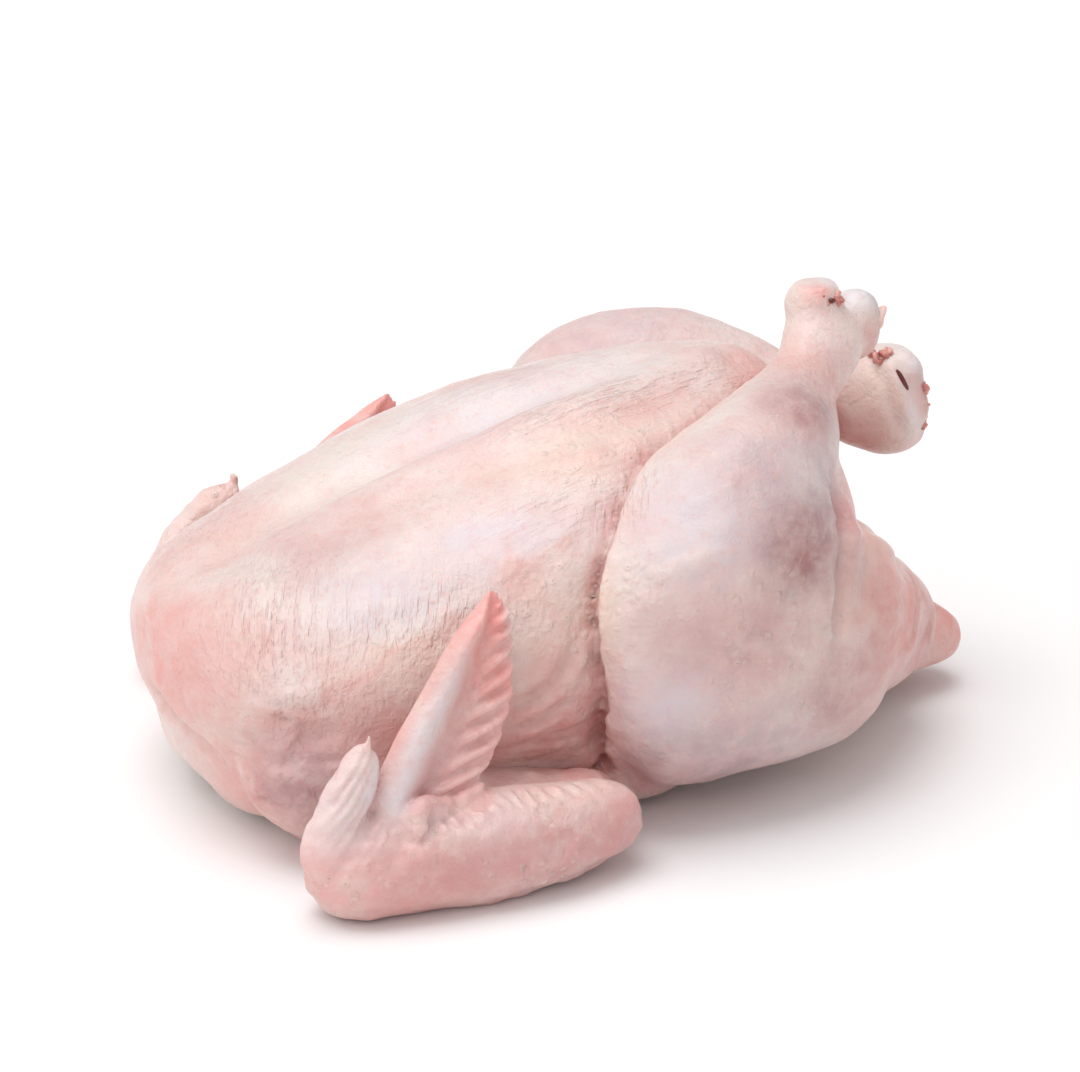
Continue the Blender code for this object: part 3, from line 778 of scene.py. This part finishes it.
def skinMasks(points, quads, sides):
    x, y, z = points.T
    sunk = hollowness(points, quads, 9)
    masks = {name: zoneMask(points, name) for name in zones}
    masks["fat"] += 0.25 * fade(noise(points, 22, 7), 0, 0.7)
    masks["fat"] += 0.8 * bell(gapFrom(points, "pucker"), 4) * fade(noise(points, 4, 27), -0.3, 0.4)
    masks["blush"] += 0.18 * fade(noise(points, 30, 12), 0, 0.6)
    # Painted shade: darker in the skin's hollows. The wall of the body cavity is bare flesh.
    masks["raw"] += 0.6 * fade(sunk, 0.6, 2.2) + insideCavity(points)
    for side, near in sides:
        near = near * fade(x, 82, 68)
        # Painted shade: dark in the fold itself and pinker, shaded skin before it; a paler rim behind.
        masks["raw"] += 0.85 * near * bell(side, 0.85) * fade(z, 3, 12)
        masks["blush"] += 0.4 * near * bell(side, 5) * (side > 0)
        masks["fat"] += 0.5 * near * bell(side + 3.5, 2.5)
    # Colour breaks off raggedly where the outer film of skin ends.
    edge = np.interp(x, *np.array(reliefs["shed"])[::-1, ::2].T)
    below = fade(z - edge + 4 * noise(points, 6, 35), 0, -2) * fade(y, -20, -36) * fade(x, 2, -12)
    masks["pores"] = np.maximum(masks["pores"], 0.25)
    masks["veil"] *= 1 - 0.85 * below
    masks["pores"] *= 1 - fade(masks["veil"], 0.35, 0.8)
    masks["blush"] += 0.3 * bell(gapFrom(points, "shed") - 3, 4) * below
    masks["fat"] += 0.45 * bell(gapFrom(points, "rumpRim"), 3) * fade(noise(points, 6, 42), -0.6, 0.3)
    masks["bone"] += 0.8 * bell(gapFrom(points, "shinEdge"), 1.6) * fade(noise(points, 5, 34), -0.4, 0.3)
    return {name: np.clip(values, 0, 1) for name, values in masks.items()}


def finishPiece(name, points, quads, masks, material):
    # The mesh in the row's frame, with its masks and its finish, riding on the one body.
    points = points.copy()
    points[:, 2] = np.maximum(points[:, 2], carcass["restZ"])  # flattened where it rests
    data = meshOf(name, toRow(keptInBox(points)), quads)
    data.polygons.foreach_set("use_smooth", np.ones(len(quads), bool))
    for key, values in masks.items():
        data.attributes.new(key, "FLOAT", "POINT").data.foreach_set("value", values.astype(np.float32))
    made = linked(name, data)
    data.materials.append(material)
    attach(made, "root")
    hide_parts("chicken")
    print(name, len(quads) * 2, "triangles")


# Wings.

wings = {
    "upperArm": [(-86, -34, 20, 0, 0), (-76, -42, 18, 15, 15), (-50, -56, 14, 16, 13),
                 (-22, -66, 12, 13, 11), (-8, -72, 12, 11, 11), (0, -75, 12.5, 0, 0)],
    "forearm": [(0, -81, 15.5, 0, 0), (-4, -81.5, 15.2, 8, 8.2), (-14, -83.5, 14.8, 11.2, 11.6),
                (-30, -86, 14.6, 13.2, 13.8), (-50, -87, 15, 14, 15), (-70, -86, 14.5, 13.5, 14.5),
                (-84, -84.5, 16, 12, 15), (-93, -84, 18, 0, 0)],
    "thumb": [(-90, -85, 12, 0, 0), (-88.5, -87, 20, 7.2, 6.8), (-86, -88.5, 29, 7, 6.2),
              (-82.5, -88.5, 38, 6.6, 5.2), (-79.6, -88, 44, 5.2, 4.5), (-77.8, -88, 48, 2.6, 2.4),
              (-77.2, -88, 49.5, 0, 0)],
    "nub": ((-77.2, -88, 49.6), (1.1, 1.1, 2.4)),
    "lead": [(-79, -88, 16), (-77.5, -88, 26), (-75.5, -86.5, 36), (-69.5, -83.5, 46), (-61, -79.5, 55.5),
             (-50, -75, 68), (-42.5, -72, 74.5), (-37, -70, 79)],
    "trail": [(-62, -92, 14), (-54, -88, 25), (-45, -84, 34.5), (-38, -80, 45), (-34, -76, 55),
              (-32.3, -72.5, 65), (-33.5, -71, 73), (-37, -70, 79)],
    "roll": [(-45, -85, 32, 0, 0), (-49, -87, 29.5, 2.6, 2.6), (-54, -89, 28, 3.1, 3),
             (-59.5, -91, 28.8, 3.3, 3.2), (-64, -92.3, 30.6, 3.2, 3.2), (-67.2, -93.3, 28.6, 3.2, 3.2),
             (-67.2, -94, 25, 3, 3), (-65, -94, 21.5, 0, 0)],
    "quills": [(-61, -95, 27), (-49, -92.5, 28.3), (-39, -90, 28.5), (-24, -87.5, 26.5), (-10, -84, 22)],
    "bladeHalf": 1.6, "boneHigh": 3.2, "valley": 1.3, "ridges": 18, "ridgeHigh": 1.25, "scallop": 1.2,
    "farShift": 6, "farLean": {"hand": (21, 7, 4), "thumb": (17, 0, 8), "base": (6, 0, 0)},
    "farThumbFat": 1.35, "voxel": 0.62,
    "lumps": [(0.7, 15, 3), (0.42, 8, 6), (0.12, 2.2, 9)],
}


def blade(lead, trail, outward, rings=110, sides=96):
    # The wing tip as a leaf: a ring at each share u of the way up, from the leading edge
    # (v = 0) to the trailing edge (v = 1) and round the back. The front rises over the bone,
    # sinks into a valley and ends in a ridged web; the back follows the bone more softly.
    u = np.linspace(0, 1, rings)[:, None]
    w = np.arange(sides) / sides
    v = 0.5 * (1 - np.cos(2 * np.pi * w))[None]
    front = (w < 0.5)[None]
    a, b = smoothPath(lead, rings), smoothPath(trail, rings)
    wave = wings["ridges"] * u - 2.2 * v + 0.25 * np.sin(11 * u + 1)
    frill = wings["scallop"] * np.abs(np.sin(np.pi * wave)) * fade(v, 0.6, 1)
    frill = frill * fade(u, 0.1, 0.25) * fade(u, 1, 0.9)
    across = b - a
    width = np.linalg.norm(across, axis=1)[:, None]
    middle = np.gradient((a + b) / 2, axis=0)
    face = unit(np.cross(across, middle)) * -outward
    lip = (1 - np.abs(2 * v - 1) ** 5) ** 0.5
    slim = np.minimum(1, width / 11) * fade(u, -0.02, 0.05)
    bone = wings["boneHigh"] * bell(v - 0.2, 0.19) * (1.15 - 0.55 * u)
    dip = wings["valley"] * bell(v - 0.55, 0.12)
    ridge = wings["ridgeHigh"] * np.sin(2 * np.pi * wave) * fade(v, 0.5, 0.75)
    half = wings["bladeHalf"]
    rise = np.where(front, half + bone - dip + ridge, -half - 0.8 * bone) * lip * slim
    share = v + frill / np.maximum(width, 1)
    points = a[:, None] + share[..., None] * across[:, None] + rise[..., None] * face[:, None]
    points[0] = points[0].mean(0)
    points[-1] = points[-1].mean(0)
    return points


def placed(stations, far, lean="hand"):
    # Mirrored for the far wing, which also leans further towards the tail at its tip.
    rows = np.asarray(stations, float).copy()
    if far:
        rows[:, 1] *= -1
        rows[:, 0] += wings["farShift"]
        top = 55 if lean == "thumb" else 85
        share = np.clip((rows[:, 2] - 12) / (top - 12), 0, 1) ** 0.8
        rows[:, :3] += share[:, None] * wings["farLean"][lean]
    return rows


def wingSpot(points, far, lean, centre, radii):
    # A spot at a place on the near wing, or where that place comes to lie on the far one.
    return spot(points, placed([centre], far, lean)[0], radii)


def buildWing(far):
    side = 1 if far else -1
    arms = [wings[part] for part in ("upperArm", "forearm")]
    if far:
        arms = [mirrored(rows, wings["farShift"]) for rows in arms]
    shells = [loft(rows, rings=90, sides=72) for rows in arms]
    shells.append(blade(placed(wings["lead"], far), placed(wings["trail"], far), side))
    thumb = placed(wings["thumb"], far, "thumb")
    thumb[:, 3:] *= wings["farThumbFat"] if far else 1
    shells.append(loft(thumb, up=(0.2, side, 0.2), rings=70))
    shells.append(loft(placed(wings["roll"], far, "base"), up=(0, side, 0), rings=70, sides=32))
    centre, radii = wings["nub"]
    shells.append(ball(placed([centre], far, "thumb")[0], radii))
    points, quads = fuse([shellObject("wing", shells)], wings["voxel"])
    points = relax(points, quads, 3)
    return wingRelief(points, quads, far), quads


def handShare(points, far):
    # How far up the wing tip (u), how far across it (v), and 1 on the wing tip.
    toLead, u = lineField(points, placed(wings["lead"], far))
    toTrail, _ = lineField(points, placed(wings["trail"], far))
    rows = [smoothPath(wings[edge], 40) for edge in ("lead", "trail")]
    steps = np.linalg.norm(np.diff(rows[0], axis=0), axis=1)
    share = np.concatenate([[0], np.cumsum(steps)]) / steps.sum()
    width = np.interp(u, share, np.linalg.norm(rows[1] - rows[0], axis=1))
    return u, toLead / (toLead + toTrail), fade(toLead + toTrail - width, 8, 3) * fade(u, 0.14, 0.26)


def wingRelief(points, quads, far):
    normals = normalsOf(points, quads)
    _, v, hand = handShare(points, far)
    arm = 1 - hand
    gap, along = lineField(points, placed(wings["quills"], far, "base"))
    slant = along * 54 + 0.5 * points[:, 2] + 1.6 * noise(points, 8, 19)
    quills = 0.85 * bell(gap, 3.0) * np.cos(2 * np.pi * slant / 4.3) * (0.75 + 0.5 * noise(points, 7, 20))
    thumb = wingSpot(points, far, "thumb", (-84, -92, 36), (9, 7, 14))
    across = points[:, 0] * 0.77 - points[:, 2] * 0.64 + 0.8 * noise(points, 9, 21)
    grooves = 0.32 * thumb * np.sin(2 * np.pi * across / 2.6)
    wrist = wingSpot(points, far, "base", (-78, -95, 20), (15, 9, 12))
    creases = 0.8 * wrist * noise(points * (0.7, 1, 1.9), 4.6, 14)
    dimples = 0.6 * noise(points * (1, 1, 1.4), 4.2, 17) * fade(noise(points, 15, 18), -0.6, 0.3)
    skin = lumps(points, wings["lumps"]) + dimples
    fine = 0.3 * noise(points * (0.45, 1, 1.5), 4.4, 28) + 0.15 * noise(points, 2.2, 29)
    web = 0.3 * noise(points, 6, 5) + fade(v, 0.42, 0.6) * fine
    # Loose folds of skin where the wing tip leaves the forearm.
    bend = wingSpot(points, far, "base", (-62, -93, 27), (13, 9, 7))
    folds = 1.1 * bend * noise(points * (1.3, 1, 0.7), 3.6, 38)
    lift = arm * (quills + grooves + creases + skin) + hand * web + folds
    return points + lift[:, None] * normals


def wingMasks(points, quads, far):
    sunk = hollowness(points, quads, 12)
    u, v, hand = handShare(points, far)
    tip = hand * fade(u, 0.55, 1.02)
    arm = 1 - hand
    valley = bell(v - 0.52, 0.15) * hand
    web = hand * fade(v, 0.6, 0.95)
    # Paler skin over the bone of the wing tip's leading edge, with a painted highlight along it.
    boneLineAndHighlight = bell(v - 0.24, 0.12) * hand * fade(u, 0.95, 0.5)
    # Painted light: the lit thumb is made paler and less pink.
    paintedThumbLight = wingSpot(points, far, "thumb", (-84, -93, 34), (14, 8, 20))
    # The wrist is made pinker and lighter: its own redder tone, and painted light on its lit side.
    wrist = wingSpot(points, far, "base", (-84, -92, 18), (13, 8, 10))
    z = points[:, 2]
    # The sides and the underside are pinker and darker: partly the skin's own tone, partly painted shade
    # away from the light above.
    low = fade(z, 27, 18) * (0.6 + 0.4 * fade(z, 3, 11)) * arm * (1 - 0.6 * paintedThumbLight)
    return {
        # Painted shade: darker in the wing's hollows.
        "raw": np.clip(0.4 * fade(sunk, 0.3, 1.6), 0, 1),
        "blush": np.clip(0.4 + 0.2 * tip + 0.5 * valley + 0.25 * hand + 0.7 * low - 0.5 * boneLineAndHighlight
                         - 0.3 * paintedThumbLight + 0.25 * noise(points, 16, 4), 0, 1),
        "veil": np.clip(0.55 * boneLineAndHighlight + 0.2 * fade(noise(points, 20, 9), 0, 0.6), 0, 1),
        "fat": (0.12 + 0.4 * fade(noise(points, 14, 11), 0, 0.6)) * arm * (1 - 0.5 * low),
        # Bone white: paler skin over the bone, and painted light on the top of the arm and on the thumb.
        "bone": np.clip(0.4 * boneLineAndHighlight + 0.15 * arm * (1 - low) + 0.4 * paintedThumbLight, 0, 1),
        "mauve": 0.3 * valley * fade(u, 0.9, 0.5) + 0.32 * low * (1 - wrist),
        "flush": np.clip(0.8 * tip + 0.25 * web - 0.3 * boneLineAndHighlight + (0.1 + 0.08 * low) * arm
                         + 0.4 * wrist, 0, 1),
        "pores": fade(noise(points, 20, 5), -0.4, 0.3) * (1 - 0.7 * hand),
        "combed": 0 * u, "dripped": 0 * u,
    }


# Small pieces.

hocks = {
    # Cut ends of the legs: torn tissue and a dark slit at the joint, a dark red piece that paints the
    # shade of the opening.
    # Scraps are centre, spread, count and size; the others are stations of x, y, z, half width, half
    # height.
    "near": {
        "scraps": [((84.6, -17.9, 127.6), (3.0, 1.4, 1.3), 34, 0.75)],
        "opening": [(82.6, -19.5, 127.9, 0, 0), (83.6, -19.5, 127.5, 0.7, 0.9), (84.7, -19.1, 127, 0, 0)],
        "flap": [(99.5, -11.5, 113.5, 0, 0), (101.2, -11, 116, 2.0, 2.8), (102.8, -10.4, 118, 1.5, 2.4),
                 (104.2, -9.8, 119.4, 0.9, 1.5), (105.2, -9.4, 120.2, 0, 0)],
    },
    "far": {
        "scraps": [((114.6, 9.2, 98.8), (3.8, 2.6, 1.5), 80, 0.65),
                   ((124.8, 3.0, 84.5), (0.8, 1.5, 6.5), 90, 0.65)],
        "opening": [(115.3, 2.2, 96.8, 0, 0), (116, 1.8, 95.4, 0.7, 1.0), (116.7, 1.2, 93.4, 1.0, 1.3),
                    (117.8, 0.7, 91.5, 0.7, 1.0), (118.3, 0.6, 90.4, 0, 0)],
    },
}
hockGrid = {"flap": 0.3, "scraps": 0.27, "opening": 0.2}  # voxel, mm


def clump(centre, spread, count, size, seed):
    # Small lumps scattered round a place and fused into one scrap of tissue.
    dice = np.random.default_rng(seed)
    places = np.asarray(centre) + dice.uniform(-1, 1, (count, 3)) * spread
    sizes = dice.uniform(0.6, 1.4, (count, 3)) * size
    shells = [ball(place, radii, 12, 16) for place, radii in zip(places, sizes)]
    points, quads = fuse([shellObject("clump", shells)], hockGrid["scraps"])
    return points + 0.6 * noise(points, 1.3, seed)[:, None] * normalsOf(points, quads), quads


def flatMasks(points, **levels):
    # The same mask value over a whole small piece.
    return {name: np.full(len(points), float(levels.get(name, 0))) for name in zones}


def buildHock(side, skin, muscle, clotAndShade):
    look = hocks[side]
    if "flap" in look:
        shell = loft(look["flap"], up=(0, 1, 0), rings=40, sides=24)
        points, quads = fuse([shellObject("flap", [shell])], hockGrid["flap"])
        points = points + 0.3 * noise(points, 2.4, 37)[:, None] * normalsOf(points, quads)
        finishPiece(side + "HockFlap", points, quads, flatMasks(points, flush=0.5, fat=0.3), skin)
    for k, (centre, spread, count, size) in enumerate(look["scraps"]):
        points, quads = clump(centre, spread, count, size, 11 + k)
        finishPiece(side + "HockTissue" + "AB"[k], points, quads, flatMasks(points), muscle)
    shell = loft(look["opening"], up=(0, 1, 0), rings=30, sides=20)
    points, quads = fuse([shellObject("opening", [shell])], hockGrid["opening"])
    finishPiece(side + "HockOpening", points, quads, flatMasks(points), clotAndShade)


def wetTissue(name, colour, dark, roughness):
    # Cut flesh: glassy wet, light goes well into it, marbled by a fine cloud.
    material, tree, shader = newMaterial(name, {
        "IOR": 1.38, "Roughness": roughness, "Subsurface Weight": 0.35, "Subsurface Scale": 0.002,
        "Subsurface Radius": (1.0, 0.4, 0.3), "Coat Weight": 0.5, "Coat Roughness": 0.12})
    place = addNode(tree, "ShaderNodeTexCoord").outputs["Object"]
    cloud = addNode(tree, "ShaderNodeTexNoise", {"Vector": place, "Scale": 1000 / 5, "Detail": 3.0})
    blend = addNode(tree, "ShaderNodeMapRange", {"Value": cloud.outputs["Fac"], "From Min": 0.4,
                                                 "From Max": 0.65})
    marbled = mixColour(tree, blend.outputs["Result"], hexColour(colour), hexColour(dark))
    tree.links.new(marbled, shader.inputs["Base Color"])
    return material


# The set.

setUp = {
    "azimuth": -22, "elevation": 21, "distance": 1.15, "lens": 138, "sensor": 36,
    "aim": (-0.009, 0.0, 0.062),
    "floor": "#F2F1F1", "floorHalf": 6.0, "worldStrength": 0.52,
    "softboxes": [((-0.12, 0.1, 1.0), 1.45, 46), ((-1.0, -0.4, 1.0), 1.12, 92)],  # from, strength, spread
}


def buildSet():
    scene = bpy.context.scene
    corners = setUp["floorHalf"] * np.array([[-1, -1, 0], [1, -1, 0], [1, 1, 0], [-1, 1, 0]])
    floor = linked("floor", meshOf("floor", corners, np.array([[0, 1, 2, 3]])))
    paint = newMaterial("paintedSweep", {"Base Color": hexColour(setUp["floor"]), "Roughness": 0.8,
                                         "Specular IOR Level": 0.1})[0]
    floor.data.materials.append(paint)

    world = bpy.data.worlds.new("studio")
    world.use_nodes = True
    sky = world.node_tree.nodes["Background"].inputs
    sky["Color"].default_value = (1, 1, 1, 1)
    sky["Strength"].default_value = setUp["worldStrength"]
    scene.world = world

    for direction, strength, spread in setUp["softboxes"]:
        lamp = bpy.data.lights.new("softbox", "SUN")
        lamp.energy, lamp.angle = strength, math.radians(spread)
        linked("softbox", lamp).rotation_euler = Vector(direction).to_track_quat("Z", "Y").to_euler()

    data = bpy.data.cameras.new("camera")
    data.sensor_width, data.lens = setUp["sensor"], setUp["lens"]
    data.clip_start, data.clip_end = 0.05, 50
    camera = linked("camera", data)
    a, e = math.radians(setUp["azimuth"]), math.radians(setUp["elevation"])
    back = Vector((math.sin(a) * math.cos(e), -math.cos(a) * math.cos(e), math.sin(e)))
    camera.location = Vector(setUp["aim"]) + back * setUp["distance"]
    camera.rotation_euler = back.to_track_quat("Z", "Y").to_euler()
    scene.camera = camera
    scene.view_settings.view_transform = "Standard"


buildSet()
print("set ready")
skin = pluckedSkin()
muscle = wetTissue("cutMuscle", "#DDA298", "#B4605A", 0.3)
clotAndShade = wetTissue("clottedBlood", "#7A2A28", "#4A1616", 0.25)
points, quads, sides = buildCarcass()
masks = skinMasks(points, quads, sides)
points = skinRelief(points, quads, sides)
finishPiece("carcassSkin", points, quads, masks, skin)
for far, name in ((False, "nearWing"), (True, "farWing")):
    points, quads = buildWing(far)
    finishPiece(name, points, quads, wingMasks(points, quads, far), skin)
buildHock("near", skin, muscle, clotAndShade)
buildHock("far", skin, muscle, clotAndShade)
print("bird ready")
